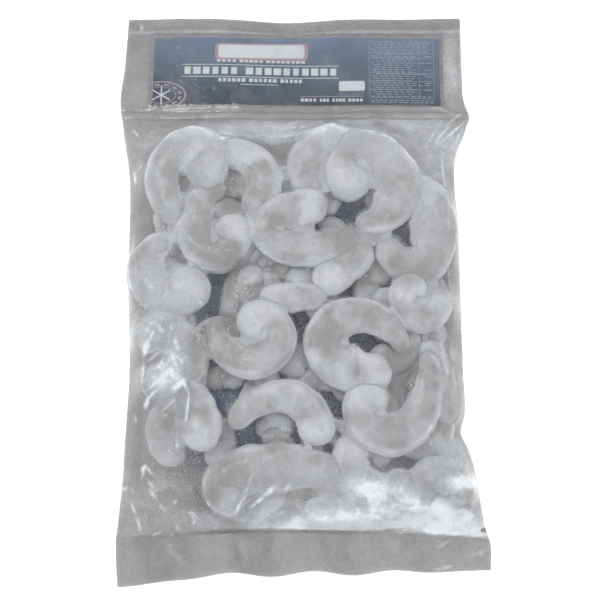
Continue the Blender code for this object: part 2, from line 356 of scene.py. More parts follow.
def prawn_piece(name, prawns, cut, ice, first_number):
    """One piece of many prawns, painted with how white each point is. Gives its points."""
    points, quads, ends, whites, count = [], [], [], [], 0
    for k, prawn in enumerate(prawns):
        p, q, e, w = prawn_flesh(prawn, cut, first_number + k, ice)
        points.append(p), quads.append(q + count), ends.append(e + count), whites.append(w)
        count += len(p)
    points = np.concatenate(points)
    piece = new_piece(name, points, [np.concatenate(quads), np.concatenate(ends)], [flesh])
    paint(piece, "ice", np.concatenate(whites))
    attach(piece, "root")
    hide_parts("prawn_bag")
    return points


# Raw prawn flesh, frozen under a coat of ice: grey to brown flesh shows through where the
# ice is thin, and the ice is matte and white where it is thick. The whiteness it reads also
# holds painted light along the prawns' sides and painted shade in their grooves. Grain 0.7 mm,
# blots 4 mm.
flesh, tree, place = new_finish("raw prawn flesh under frosted ice")
ice = node(tree, "Attribute", attribute_name="ice").outputs["Fac"]
blots = node(tree, "TexNoise", {"Vector": place, "Scale": 250.0, "Detail": 4.0, "Roughness": 0.6})
grain = node(tree, "TexNoise", {"Vector": place, "Scale": 1400.0, "Detail": 2.0})
blot_shift = node(tree, "Math", {0: blots, 1: 0.45, 2: -0.225}, operation="MULTIPLY_ADD")
grain_shift = node(tree, "Math", {0: grain, 1: 0.24, 2: -0.12}, operation="MULTIPLY_ADD")
shifts = node(tree, "Math", {0: blot_shift, 1: grain_shift})
cover = node(tree, "Math", {0: ice, 1: shifts}, use_clamp=True)
hue = node(tree, "TexNoise", {"Vector": place, "Scale": 70.0, "Detail": 1.0})
hue = node(tree, "MapRange", {"Value": hue, "From Min": 0.4, "From Max": 0.62})
raw = node(tree, "Mix", {0: hue, 6: "#979798", 7: "#9A9798"}, data_type="RGBA").outputs[2]
white = node(tree, "Mix", {0: hue, 6: "#D0D3D6", 7: "#D2D3D9"}, data_type="RGBA").outputs[2]
coated = node(tree, "Mix", {0: cover, 6: raw, 7: white}, data_type="RGBA").outputs[2]
pits = node(tree, "TexNoise", {"Vector": place, "Scale": 520.0, "Detail": 3.0, "Roughness": 0.7})
spots = node(tree, "MapRange", {"Value": pits, "From Min": 0.62, "From Max": 0.7})
few = node(tree, "MapRange", {"Value": blots, "From Min": 0.54, "From Max": 0.64})
spots = node(tree, "Math", {0: spots, 1: few}, operation="MULTIPLY")
spots = node(tree, "Math", {0: spots, 1: 0.55}, operation="MULTIPLY")
coated = node(tree, "Mix", {0: spots, 6: coated, 7: "#6E6665"}, data_type="RGBA").outputs[2]
relief = node(tree, "Bump", {"Strength": 0.25, "Distance": 0.0006, "Height": grain})
relief = node(tree, "Bump", {"Strength": 0.35, "Distance": 0.0015, "Height": blots,
                             "Normal": relief})
iced = node(tree, "BsdfPrincipled", {
    "Base Color": coated, "Roughness": 0.7, "IOR": 1.31, "Specular IOR Level": 0.2,
    "Normal": relief, "Subsurface Weight": 0.6, "Subsurface Radius": (1.0, 0.92, 0.88),
    "Subsurface Scale": 0.005})
node(tree, "OutputMaterial", {"Surface": iced})

# The upper layer, which the film is drawn over
upper = prawn_piece("prawns.upper", PRAWNS, UPPER_CUT, 0.38, 0)

# The lower layer shows in the gaps. Twelve prawns are placed as they show, and the rest by
# drawing curls at random and keeping each that leaves the dark gaps open and has room.
SUNK = [Prawn(*sizes) for sizes in (
    (44, -31.2, 86, 146, 26.5, 8, 8, 12),
    (56.5, -6, 14, 200, -150, 8, 8, 11),
    (-15, -98, 8, 60, 60, 8, 7.5, 12),
    (-8, -4, 12, 160, -110, 8, 8, 12),
    (-9, 52, 14, 60, 60, 8, 8, 13),
    (16, 52, 6, -40, 80, 7, 7, 12),
    (47, 54, 5, -40, 80, 7, 7, 14),
    (-46, -71, 12, 60, 60, 7, 7, 11),
    (12, -74, 12, 60, 60, 7, 7, 12),
    (-17, 4, 8, 60, 60, 7, 7, 13),
    (-40, -58, 20, -60, 80, 8, 7, 11),
    (43, -116, 9, 60, 120, 9, 8.5, 14),
)]
DARK_GAPS = (
    (33.9, 50.1), (65.1, 46.8), (76, 25.9), (-48.4, -0.3), (-61.2, -21.5), (52.2, 13),
    (27.5, 46.5), (66.5, 32), (37, -33), (45.5, -39), (1.3, -23.9), (-45.4, -73.8),
    (-31.1, -93.8), (-7.3, -85.6), (25.3, -80.6), (16, -104.5), (60.4, -114.4),
)
LOWER_DRAWS = 2200
LOWER_MIDDLES = ((-84, 84), (-128, 84))   # where the curls' middles are drawn, across and up
LOWER_HALF, LOWER_FOOT, LOWER_HEAD = 88, -128, 86
LOWER_ROOM = 8.0      # least distance between two centrelines, about
GAP_ROOM = 2.2        # least distance of a prawn's side from a dark gap


def near(points, others):
    """The smallest distance between two sets of points in the plane."""
    apart = np.asarray(points)[:, None] - np.asarray(others)[None]
    return np.hypot(*apart.transpose(2, 0, 1)).min()


def lower_layer():
    """Curls drawn at random, each kept if it has room among those before it and lies inside
    the body, whose near left and far right corners hold film alone."""
    kept, draw = list(SUNK), np.random.default_rng(7)
    paths = [np.stack(centreline(prawn)[:2], axis=-1) for prawn in kept]
    for _ in range(LOWER_DRAWS):
        x, y = draw.uniform(*LOWER_MIDDLES[0]), draw.uniform(*LOWER_MIDDLES[1])
        made = Prawn(x, y, draw.uniform(9, 17), draw.uniform(0, 360),
                     draw.choice([-1, 1]) * draw.uniform(110, 200), draw.uniform(8.5, 10),
                     draw.uniform(7, 8.5), draw.uniform(10, 16.5))
        path = np.stack(centreline(made)[:2], axis=-1)
        room = LOWER_ROOM * draw.uniform(0.55, 1.1)
        px, py = path.T
        foot = LOWER_FOOT + 32 * ease((-38 - px) / 26)
        head = LOWER_HEAD - 34 * ease((px - 62) / 16)
        inside = ((np.abs(px) < LOWER_HALF) & (py < head) & (py > foot)).all()
        if (inside and near(path, DARK_GAPS) > made.head + GAP_ROOM
                and all(near(path, other) > room for other in paths)):
            kept.append(made)
            paths.append(path)
    return kept


lower = lower_layer()
prawn_piece("prawns.lower", lower, LOWER_CUT, 0.15, 100)


# The film: a bag of clear polyethylene, cold and stiff, sealed flat above the prawns and at
# the foot. It is drawn over the prawns in hollows and creases and clouded by frost inside.
# Its back carries a dark printed field that shows in the gaps, which is a guess from them.

FILM_STACK = 1.2      # of the two films where they lie flat
FOLD_HEIGHT = 5.0     # of the folds along the body's sides, and how far the body rises from a seal
FOLD_RUN = 22.0
TOP_SEAL = 111.5      # where the body ends, up the bag
FOOT_SEAL = -154.0
FOOT_SEAL_DROOP = 6.0
FILM_WIDTH = 226.0
HEAD_CUT = 182.75
HEAD_SLANT = 0.018
HEAD_SAG = 2.8
HEAD_SAG_RUN = 28.0
FOOT_CUT = -179.2
FOOT_WAVE = 1.3
FOOT_CORNER = 5.6
LEFT_EDGE = (
    (-185, -111.5), (-160, -113), (-130, -109.5), (-94, -107.7), (-60, -105.9), (0, -107.7),
    (80, -109), (107, -113.5), (123, -115.85), (151, -113.5), (184, -111.6),
)
RIGHT_EDGE = (
    (-182, 114), (-164, 114.8), (-152, 111.5), (-135, 108.6), (-120, 106.8), (-106, 103),
    (-97, 99.1), (-86, 102), (-60, 102.5), (0, 103.4), (40, 104), (60, 103), (82, 104.9),
    (96, 110.8), (104, 113.8), (110, 116), (116, 114.6), (123, 112.9), (140, 112.6),
    (181, 113.2),
)
HEADER_WAVE = 1.3
HEADER_WAVE_LENGTH = 92.0
FLANGE_WAVE = 2.1
FLANGE_WAVE_LENGTH = 50.0
BAG_CELLS = (52, 84)
FINER = 4             # the film is cut this many times as fine as the solid, but not its back
FILM_PULL = 0.016     # how far the film sinks below its neighbours' mean, for each square mm
FILM_LAG = 0.15       # share of its place that a point keeps in a round
SETTLE_ROUNDS = (500, 260)
STIFF_ROUNDS = 6
FILM_GAP = 0.25       # between the two films in the header and the flange
SHARP_FOLD = 75       # degrees past which the film's faces aren't shaded as one

CARD_WIDTH = 193.0
CARD_DEPTH = 48.5
CARD_CENTRE = (1.5, 145.3)
CARD_TURN = math.radians(-1.2)
CARD_THICKNESS = 0.4
CARD_GAP = 0.35


def through(stations, at):
    """A smooth edge: a cubic through the stations, whose slope at each is that of its chord."""
    where, value = np.array(stations, float).T
    slope = np.gradient(value, where)
    k = np.clip(np.searchsorted(where, at) - 1, 0, len(where) - 2)
    span = where[k + 1] - where[k]
    t = np.clip((at - where[k]) / span, 0, 1)
    return ((1 + 2 * t) * (1 - t) ** 2 * value[k] + t * (1 - t) ** 2 * span * slope[k]
            + t * t * (3 - 2 * t) * value[k + 1] + t * t * (t - 1) * span * slope[k + 1])


def head_edge(x):
    """The cut edge above the card: a straight cut that sags a little in its middle."""
    return HEAD_CUT - HEAD_SLANT * x - HEAD_SAG * np.exp(-(x / HEAD_SAG_RUN) ** 2)


def foot_edge(x):
    """The cut edge of the flange: a straight cut in slow waves, drawn out at the left corner."""
    waves = FOOT_WAVE * np.cos(math.tau * (x - 5) / FLANGE_WAVE_LENGTH)
    fade = np.exp(-(x / (FILM_WIDTH / 3)) ** 4)
    return FOOT_CUT + waves * fade - FOOT_CORNER * ease(-2 * x / FILM_WIDTH * 1.8 - 0.8)


def foot_seal(x):
    """The flange's inner seal line, which droops towards the right corner."""
    return FOOT_SEAL - FOOT_SEAL_DROOP * np.clip(4 * x / FILM_WIDTH - 1, 0, 1) ** 2


def film_grid(cells):
    """Points of the flat film: u runs between the side edges, v between the foot and the head."""
    u, v = np.meshgrid(np.linspace(0, 1, cells[0] + 1), np.linspace(0, 1, cells[1] + 1))
    across = (u - 0.5) * FILM_WIDTH
    y = foot_edge(across) + (head_edge(across) - foot_edge(across)) * v
    left = through(LEFT_EDGE, y)
    right = through(RIGHT_EDGE, y)
    return left + (right - left) * u, y


def lay(x, y):
    """Height of the header's and flange's upper face: the film stack in slow waves."""
    header = (1 + np.sin(math.tau * x / HEADER_WAVE_LENGTH + y / 30)) / 2
    flange = (1 + np.cos(math.tau * x / FLANGE_WAVE_LENGTH + y / 40)) / 2
    return FILM_STACK + np.where(y > 0, HEADER_WAVE * header, FLANGE_WAVE * flange)


def in_body(x, y):
    """1 in the filled body, 0 past its seals, rising over the run of the fold."""
    return ease((TOP_SEAL - y) / FOLD_RUN) * ease((y - foot_seal(x)) / FOLD_RUN)


def prawn_tops(x, y, prawns):
    """Height of the highest prawn over each point, and zero where there is none."""
    top = np.zeros_like(x)
    for prawn in prawns:
        for px, py, width in zip(*centreline(prawn)):
            inside = width ** 2 - (x - px) ** 2 - (y - py) ** 2
            dome = prawn.level + np.sqrt(np.maximum(inside, 0))
            top = np.maximum(top, np.where(inside > 0, dome, 0))
    return top


def free_film(x, y):
    """Where the film is free to sink: between the seals, off the border of the grid."""
    free = (y < TOP_SEAL) & (y > foot_seal(x))
    free[[0, -1], :] = False
    free[:, [0, -1]] = False
    return free


def settle(x, y, tops, z, rounds):
    """Each free point of the film is let down a little below the mean of its four neighbours,
    or onto a prawn's top where that is higher. The seals and the edges are held."""
    body = in_body(x, y)
    resting = np.maximum(lay(x, y) * (1 - body) + (FOLD_HEIGHT + FILM_STACK) * body, tops)
    free = free_film(x, y)
    z = resting.copy() if z is None else np.where(free, np.maximum(z, resting), resting)
    free, lowest, inside = free[1:-1, 1:-1], resting[1:-1, 1:-1], z[1:-1, 1:-1]
    pull = FILM_PULL * np.ptp(x) * np.ptp(y) / ((x.shape[0] - 1) * (x.shape[1] - 1))

    def mean():
        return (z[:-2, 1:-1] + z[2:, 1:-1] + z[1:-1, :-2] + z[1:-1, 2:]) / 4

    for _ in range(rounds):
        down = FILM_LAG * inside + (1 - FILM_LAG) * (mean() - pull)
        inside[:] = np.where(free, np.maximum(down, lowest), inside)
    for _ in range(STIFF_ROUNDS):
        inside[:] = np.where(free, (inside + 2 * mean()) / 3, inside)
    return z


def finer(z, times):
    """A grid's values at cells that many times as fine, in straight lines between them."""
    rows, columns = z.shape
    fine_row = np.linspace(0, rows - 1, (rows - 1) * times + 1)
    fine_column = np.linspace(0, columns - 1, (columns - 1) * times + 1)
    wide = np.stack([np.interp(fine_column, np.arange(columns), row) for row in z])
    return np.stack([np.interp(fine_row, np.arange(rows), column) for column in wide.T]).T


def flat_lumps(x, y, size, seed):
    """The smooth random numbers of lumps, over the flat film."""
    return lumps(np.stack([x, y, 0 * x], axis=-1), size, seed)


def creases(x, y, size, seed):
    """Crumpled film from 0 to 1: smooth random numbers folded at their middle, so that sharp
    valleys run between round hills, one each size millimetres."""
    return np.abs(2 * flat_lumps(x + 0.3 * y, y - 0.3 * x, size, seed) - 1)


def facets(x, y, size, seed):
    """Flat faces of crumpled film: each point takes the random value, from 0 to 1, of the
    nearest of many centres, one to a square of side size."""
    draw = np.random.default_rng(seed)
    cx, cy = np.meshgrid(np.arange(-130, 131, size), np.arange(-200, 201, size))
    cx, cy = (np.ravel(c + draw.uniform(-0.5, 0.5, c.shape) * size) for c in (cx, cy))
    value, least, chosen = draw.random(cx.size), np.full(x.shape, np.inf), np.zeros(x.shape)
    for k in range(cx.size):
        away = (x - cx[k]) ** 2 + (y - cy[k]) ** 2
        chosen = np.where(away < least, value[k], chosen)
        least = np.minimum(away, least)
    return chosen


def stroke(x, y, x0, y0, x1, y1, width):
    """1 along a straight fold between two points, falling off over width to either side."""
    run = np.hypot(x1 - x0, y1 - y0)
    t = np.clip(((x - x0) * (x1 - x0) + (y - y0) * (y1 - y0)) / run ** 2, 0, 1)
    away = np.hypot(x - x0 - t * (x1 - x0), y - y0 - t * (y1 - y0))
    return np.exp(-(away / width) ** 2) * np.sin(math.pi * (0.08 + 0.84 * t))


def blot(x, y, cx, cy, rx, ry):
    """1 at a centre, falling off over the two radii."""
    return np.exp(-((x - cx) / rx) ** 2 - ((y - cy) / ry) ** 2)


# Folds pressed into the film: ends, width, height, and how white each is painted, a painted
# highlight for the glint along its crease
FOLDS = (
    (-94, -48, -89, -38, 1.5, 1.4, 0.7), (-89, -38, -86, -32, 1, 1.2, 0.5),
    (-94, -51, -94, -64, 0.8, 1.2, 0.6), (-91, -51, -84, -46, 0.9, 1, 0.4),
    (-83, -65, -77, -56, 1.4, 1.4, 0.7), (-90, -68, -80, -60, 1, 1, 0.5),
    (-93, -79, -90, -73, 1.7, 1.2, 0.7), (-75, -69, -68.5, -63, 1.9, 1.6, 0.8),
    (-69, -63, -65, -71, 1, 1.4, 0.8), (-65, -71, -67, -91, 0.8, 1.3, 0.8),
    (-74, -38, -72, -45, 1.2, 1.2, 0.5), (-77, -45, -71, -59, 0.7, 1.3, 0.3),
    (-83, -82, -72, -73, 0.7, 1, 0.4), (-91, -74, -85, -69, 0.9, 1, 0.6),
    (-101, -82, -100, -87, 0.7, 0.8, 0.5), (-97, -116, -94, -113, 0.8, 1.2, 0.8),
    (-94, -113, -90, -118, 0.9, 1.2, 0.8), (-94, -113, -97, -121, 0.8, 1.2, 0.8),
    (-73, -98, -72, -105, 0.8, 1, 0.5), (-60, -15, -57, -18, 0.6, 0.8, 0.8),
    (-104, 73, -102.5, 65, 1.2, 1.2, 0.9), (-102, 73.5, -97, 75, 0.6, 0.9, 0.6),
    (-107, 105, -101, 97, 0.6, 1.1, 0.5), (-104, -134, -100.5, -143, 0.7, 1.1, 0.6),
    (-100.5, -143, -98, -153, 1, 1.1, 0.6), (-108.5, -126, -105, -128, 0.6, 0.8, 0.7),
    (-67, -140, -62, -145, 0.6, 0.8, 0.5), (-38, -141, -34, -133, 0.9, 1.2, 0.7),
    (-34, -134, -28, -119, 0.8, 1.2, 0.35), (-29, -138, -22, -132, 1, 1.2, 0.5),
    (-23, -133, -14, -125, 1.8, 1.6, 0.5), (-9, -129, -5.5, -123, 1.4, 1.2, 0.4),
    (116, 110, 98, 93, 0.8, 1.6, 0.45), (113, 114, 99, 104, 0.7, 1.2, 0.35),
    (99, 110, 84, 86, 0.7, 1, 0.2), (96, 86, 93.5, 24, 0.8, 1.2, 0.3),
    (103, 105, 92, 92, 0.7, 1, 0.3), (113.5, 107, 102, 85, 0.7, 1.4, 0.3),
    (88, 119.5, 110, 111, 0.9, 1.2, 0.3), (69, -137, 91, -152, 2.2, 1.6, 0.35),
    (91, -152, 112, -160, 1.6, 1.4, 0.5), (-84, -159, -70, -174, 2.2, 1, 0.2),
    (-39, -156, -34, -174, 2, 0.8, 0.15), (78, -178, 92, -176, 1.4, 0.8, 0.4),
    (59, -158, 64, -155, 1, 0.9, 0.3), (81, -166, 92, -160, 1.3, 1, 0.3),
    (102, -171, 114, -167, 2.4, 1, 0.25), (-104, 40, -101, 5, 1, 1, 0.15),
    (92, 10, 97, -30, 0.9, 1.2, 0.25), (95, -40, 91, -92, 1.2, 1.4, 0.2),
    (-99, 20, -96, -16, 1.2, 1, 0.15), (-103.4, 183, -102, 176, 1.6, 0.3, 0.6),
    (-92.4, -128, -88, -133, 0.7, 0.6, 0.5), (-86, -137, -82.5, -141, 0.7, 0.6, 0.6),
    (-68.4, -141.4, -64, -145.6, 0.6, 0.7, 0.7), (-64, -145.6, -66, -148.7, 0.6, 0.6, 0.6),
    (-76.4, -149, -74.6, -152.6, 0.7, 0.5, 0.6), (-80, -154, -77.7, -156, 0.7, 0.4, 0.5),
    (-90.6, -154.8, -85, -153.2, 0.7, 0.4, 0.6), (-93, -122, -90, -126, 0.9, 0.5, 0.5),
    (-78, -136, -75, -134, 0.8, 0.5, 0.4), (84, -32, 90, -52, 1.6, 1.2, 0.4),
    (86, -48, 90, -62, 0.9, 1, 0.4), (-14, 104, 20, 103, 0.8, 0.8, 0.2),
)
# Zones of loose, crumpled film: centre and radii
LOOSE = (
    (-82, -58, 18, 32), (-96, -140, 20, 22), (102, 104, 16, 20), (80, -140, 30, 22),
    (-30, -135, 36, 16), (-104, 90, 12, 30), (100, -110, 12, 20),
)
SEALS = (112.8, 115.0, 117.6)   # ribs pressed into the top seal, and its clear lines
SEAL_LINES = (110.6, 115.2)
SEAL_SLANT = 0.018
SEAL_RIB = (0.45, 0.7)          # height and half width
FOOT_RIB = (0.5, 0.8)
# Layers of creases in the film: how much of each, their size and seed
CRUMPLES = ((0.5, 21, 1), (0.35, 11, 2), (0.2, 5.5, 3))
# Where frost clings to the inside of the film, and where it is painted thick as painted highlights
# for the glare off the film's facets: centre, radii and how thick
FROST_AND_GLARE = (
    (-74, 56, 26, 36, 0.16), (-52, 88, 30, 12, 0.2), (-62, 102, 34, 7, 0.25),
    (-84, -4, 16, 26, 0.16), (-95, -40, 9, 60, 0.08), (-80, -52, 15, 20, 0.4),
    (-88, -134, 20, 24, 0.36), (-48, -146, 26, 8, 0.3), (-8, -132, 34, 14, 0.3),
    (16, -147, 34, 8, 0.75), (80, 32, 12, 24, 0.15), (56, -97, 16, 9, 0.15),
    (-62, 93, 34, 6, 0.12), (25, 93, 34, 6, 0.12), (-82, -63, 10, 6, 0.22), (-93, -41, 3, 6, 0.4),
    (84, 66, 13, 26, 0.3), (20, 94, 26, 6, 0.2), (60, 84, 22, 8, 0.25), (-9, 62, 8, 14, 0.2),
    (-66, -8, 12, 16, 0.15), (30, -151, 48, 3.5, 0.8), (45, -128, 16, 8, 0.9),
    (60, -141, 18, 8, 0.7), (86, -150, 24, 9, 0.75), (97, -126, 11, 4, 0.9),
    (84, -142, 20, 12, 0.35), (93, -113, 14, 14, 0.3), (84, -103, 10, 9, 0.3),
    (95, -60, 8, 40, 0.12), (92, 0, 9, 60, 0.1), (-92, -10, 14, 34, 0.12), (-60, 94, 44, 8, 0.3),
    (30, 94, 62, 8, 0.32), (95, 94, 14, 18, 0.3), (60, 104, 44, 7, 0.25), (0, 106, 70, 6, 0.25),
    (-36, -12, 8, 8, 0.2), (106, 142, 7, 26, 0.35), (-104, 132, 7, 18, 0.1),
    (44, 60, 24, 22, 0.1), (100, -156, 22, 5, 0.7), (-28, 30, 7, 7, 0.25),
)
TOP_STRIP = 8.5       # the sealed strip along the cut edge, clearer than the film below it
HAZE_TIGHT = 0.12     # where the film is drawn tight over a prawn
HAZE_FLAT = 0.24      # in the header and the flange
HAZE_SIDE = 0.22      # in the folds along the sides
HAZE_CREASE_LIGHT = 0.2       # painted light: haze where the film leaves a prawn, lifting the shade in the creases
HAZE_CARD = 0.02
HAZE_HEAD = 0.11      # where the film slopes down from the prawns to the top seal
HAZE_PLEATS = 0.11
HAZE_RIM = 0.2        # along the cut edges
HAZE_GRAIN = 0.07     # of the header, in spots of a millimetre or two
# The line of the foot seal, and how far above it its ribs are
FOOT_LINE = (
    (-116, -156), (-90, -155.4), (-62, -153.5), (-37, -152.8), (-7, -153.6), (25, -154.6),
    (55, -155.9), (90, -158.8), (116, -161),
)
FOOT_SEALS = (0, -2.6)


def film_heights(cells):
    """The film's points: drawn onto the prawns on a coarse grid and then on this one, with
    crumples, pressed folds and seal ribs added, and lifted over the card. Gives x, y, height
    of the upper and the lower film, how loose the film is and how far it hangs over a prawn."""
    coarse_x, coarse_y = film_grid(BAG_CELLS)
    domes = np.where(free_film(coarse_x, coarse_y), prawn_tops(coarse_x, coarse_y, PRAWNS), 0)
    coarse = settle(coarse_x, coarse_y, domes, None, SETTLE_ROUNDS[0])
    x, y = film_grid(cells)
    tops = rest_on(upper, cells)
    z = settle(x, y, tops, finer(coarse, FINER), SETTLE_ROUNDS[1])

    body = in_body(x, y)
    hang = np.where(tops > 0, z - tops, FOLD_RUN)
    slack = (1 - np.exp(-np.maximum(hang, 0) / 2.5)) * body
    loose = sum(blot(x, y, *zone) for zone in LOOSE)
    crumple = sum(much * creases(x, y, size, seed) for much, size, seed in CRUMPLES)
    amount = 0.35 + 0.9 * slack + 1.1 * np.clip(loose, 0, 1) + 0.4 * (1 - body)
    z += crumple * amount
    for x0, y0, x1, y1, width, height, _ in FOLDS:
        z += height * stroke(x, y, x0, y0, x1, y1, max(width, 1.1))
    for line in SEALS:
        z += SEAL_RIB[0] * np.exp(-((y - line + SEAL_SLANT * x) / SEAL_RIB[1]) ** 2)
    for line in FOOT_SEALS:
        z += FOOT_RIB[0] * np.exp(-((y - through(FOOT_LINE, x) - line) / FOOT_RIB[1]) ** 2)
    a, b = on_card(x, y)
    over = ease((CARD_WIDTH / 2 + 5 - np.abs(a)) / 5) * ease((CARD_DEPTH / 2 + 5 - np.abs(b)) / 5)
    back = (z * (1 - over) + lay(x, y) * over - FILM_GAP) * (1 - body)
    return x, y, z + over * (CARD_THICKNESS + CARD_GAP + 0.3), back, loose, hang


def rest_on(points, cells):
    """The highest of the points over each cell corner of the film, and zero where there is
    none, found from how far each lies across and up the flat film."""
    px, py, pz = points.T
    left, right = through(LEFT_EDGE, py), through(RIGHT_EDGE, py)
    u = (px - left) / (right - left)
    across = (u - 0.5) * FILM_WIDTH
    v = (py - foot_edge(across)) / (head_edge(across) - foot_edge(across))
    i, j = np.rint(u * cells[0]).astype(int), np.rint(v * cells[1]).astype(int)
    held = (py < TOP_SEAL) & (py > foot_seal(px))
    held &= (i > 0) & (i < cells[0]) & (j > 0) & (j < cells[1])
    tops = np.zeros((cells[1] + 1, cells[0] + 1))
    np.maximum.at(tops, (j[held], i[held]), pz[held] + UNDER_FILM)
    return of_nine(of_nine(tops, np.maximum), np.minimum)


def nine(values, outside="constant"):
    """Each value and its eight neighbours, as nine shifted grids."""
    rows, columns = values.shape
    padded = np.pad(values, 1, mode=outside)
    return [padded[j:j + rows, i:i + columns] for j in range(3) for i in range(3)]


def of_nine(values, pick):
    """The largest or smallest of each value and its eight neighbours: one after the other
    closes small holes."""
    return pick.reduce(nine(values, "edge"))


def on_card(x, y):
    """A place as distances along and up the header card from its centre."""
    dx, dy = x - CARD_CENTRE[0], y - CARD_CENTRE[1]
    return (dx * math.cos(CARD_TURN) + dy * math.sin(CARD_TURN),
            dy * math.cos(CARD_TURN) - dx * math.sin(CARD_TURN))


def rim_order(nu, nv):
    """The grid's border as (row, column), once round from the near left corner."""
    near_side = [(0, i) for i in range(nu)]
    right = [(j, nu) for j in range(nv)]
    far_side = [(nv, i) for i in range(nu, 0, -1)]
    left = [(j, 0) for j in range(nv, 0, -1)]
    return near_side + right + far_side + left


def cell_quads(nu, nv):
    """The grid's cells as quads, row by row, facing up."""
    j, i = np.meshgrid(np.arange(nv), np.arange(nu), indexing="ij")
    a = (j * (nu + 1) + i).ravel()
    return np.stack([a, a + 1, a + nu + 2, a + nu + 1], axis=-1)


# Clear polyethylene film with frost on its inside: a thin grey cloud, thicker in patches and
# at the edges, and a smooth glossy face that mirrors the soft boxes from each crease. Part of
# the cloud is painted light: whiter patches and strokes that stand for glare and glints.
clear_film, tree, place = new_finish("clear polyethylene film, frosted inside")
haze_and_glare = node(tree, "Attribute", attribute_name="haze_and_glare").outputs["Fac"]
cloud = node(tree, "TexNoise", {"Vector": place, "Scale": 90.0, "Detail": 5.0, "Roughness": 0.65})
cloud = node(tree, "MapRange", {"Value": cloud, "From Min": 0.3, "From Max": 0.75,
                                "To Min": 0.8, "To Max": 1.25})
grit = node(tree, "TexNoise", {"Vector": place, "Scale": 800.0, "Detail": 3.0, "Roughness": 0.6})
grit = node(tree, "Math", {0: grit, 1: 0.4, 2: -0.2}, operation="MULTIPLY_ADD")
haze_and_glare = node(tree, "Math", {0: haze_and_glare, 1: cloud, 2: grit}, operation="MULTIPLY_ADD", use_clamp=True)
fine = node(tree, "TexNoise", {"Vector": place, "Scale": 420.0, "Detail": 3.0})
wrinkle = node(tree, "Bump", {"Strength": 0.3, "Distance": 0.0008, "Height": fine})
tone = node(tree, "Mix", {0: haze_and_glare, 6: "#A9AAAC", 7: "#D5DADE"}, data_type="RGBA").outputs[2]
frost_face = node(tree, "BsdfPrincipled", {"Base Color": tone, "Roughness": 0.45, "Normal": wrinkle,
                                           "Specular IOR Level": 0.3})
open_face = node(tree, "BsdfTransparent")
clouded = node(tree, "MixShader", {0: haze_and_glare, 1: open_face, 2: frost_face})
gloss = node(tree, "BsdfAnisotropic", {"Color": "#FFFFFF", "Roughness": 0.16, "Normal": wrinkle})
mirror = node(tree, "Fresnel", {"IOR": 1.5, "Normal": wrinkle})
slick = node(tree, "Attribute", attribute_name="slick").outputs["Fac"]
mirror = node(tree, "Math", {0: mirror, 1: slick}, operation="MULTIPLY")
film = node(tree, "MixShader", {0: mirror, 1: clouded, 2: gloss})
node(tree, "OutputMaterial", {"Surface": film})

# The back of the bag: the same film seen as a grey sheet, printed dark behind the prawns
back_film, tree, place = new_finish("grey polyethylene back film, printed")
split = node(tree, "SeparateXYZ", {"Vector": place}).outputs
wave = node(tree, "TexNoise", {"Vector": place, "Scale": 18.0, "Detail": 1.0})
wave = node(tree, "Math", {0: wave, 1: 0.02, 2: -0.01}, operation="MULTIPLY_ADD")
FIELD_FADE = 0.012                # width of the print's blurred edge, in metres
FIELD_ACROSS = (0.008, 0.070)     # its middle and half size across and up the bag
FIELD_UP = (-0.022, 0.086)


def within(source, middle, half):
    """1 inside a band of the back film, falling to 0 over the blurred edge of the print."""
    away = node(tree, "Math", {0: source, 1: middle}, operation="SUBTRACT")
    away = node(tree, "Math", {0: away}, operation="ABSOLUTE")
    away = node(tree, "Math", {0: away, 1: wave})
    return node(tree, "MapRange", {"Value": away, "From Min": half + FIELD_FADE, "From Max": half,
                                   "To Min": 0.0, "To Max": 1.0})


field = node(tree, "Math", {0: within(split[0], *FIELD_ACROSS), 1: within(split[1], *FIELD_UP)},
             operation="MULTIPLY")
sheet = node(tree, "TexNoise", {"Vector": place, "Scale": 90.0, "Detail": 6.0, "Roughness": 0.75})
mottle = node(tree, "MapRange", {"Value": sheet, "From Min": 0.36, "From Max": 0.64})
scuff = node(tree, "TexNoise", {"Vector": place, "Scale": 900.0, "Detail": 2.0})
scuff = node(tree, "Math", {0: scuff, 1: 2.4, 2: -1.2}, operation="MULTIPLY_ADD")
mottle = node(tree, "Math", {0: mottle, 1: scuff}, use_clamp=True)
grey = node(tree, "Mix", {0: mottle, 6: "#7F7B7D", 7: "#9C999A"}, data_type="RGBA").outputs[2]
ink = node(tree, "Mix", {0: sheet, 6: "#2A4070", 7: "#3A4E7E"}, data_type="RGBA").outputs[2]
face = node(tree, "Mix", {0: field, 6: grey, 7: ink}, data_type="RGBA").outputs[2]
back_face = node(tree, "BsdfPrincipled", {"Base Color": face, "Roughness": 0.35})
open_face = node(tree, "BsdfTransparent")
solid = node(tree, "MapRange", {"Value": sheet, "From Min": 0.3, "From Max": 0.7,
                                "To Min": 0.86, "To Max": 0.94})
solid = node(tree, "Math", {0: solid, 1: field}, operation="MAXIMUM")
film = node(tree, "MixShader", {0: solid, 1: open_face, 2: back_face})
node(tree, "OutputMaterial", {"Surface": film})

# The back is cut as coarse as the solid: each of its faces runs round one coarse cell, and
# takes in all the points of the upper film along the cut edges, so the bag is closed
nu, nv = BAG_CELLS[0] * FINER, BAG_CELLS[1] * FINER
x, y, z, back, loose, hang = film_heights((nu, nv))
body = in_body(x, y)
inner = [(j, i) for j in range(FINER, nv, FINER) for i in range(FINER, nu, FINER)]
inner_at = tuple(np.array(inner).T)
from_side = np.minimum(x - x[:, :1], x[:, -1:] - x)
back = of_nine(of_nine(back, np.minimum), np.minimum)
back = np.maximum(back, 0.2 * (1 - body)) + FOLD_HEIGHT * body * (1 - ease(from_side / 14))
points = np.stack([x, y, z], axis=-1).reshape(-1, 3)
under = np.stack([x, y, back], axis=-1)[inner_at]
numbers = {cell: cell[0] * (nu + 1) + cell[1] for cell in rim_order(nu, nv)}
numbers.update({cell: len(points) + k for k, cell in enumerate(inner)})
rings = {}
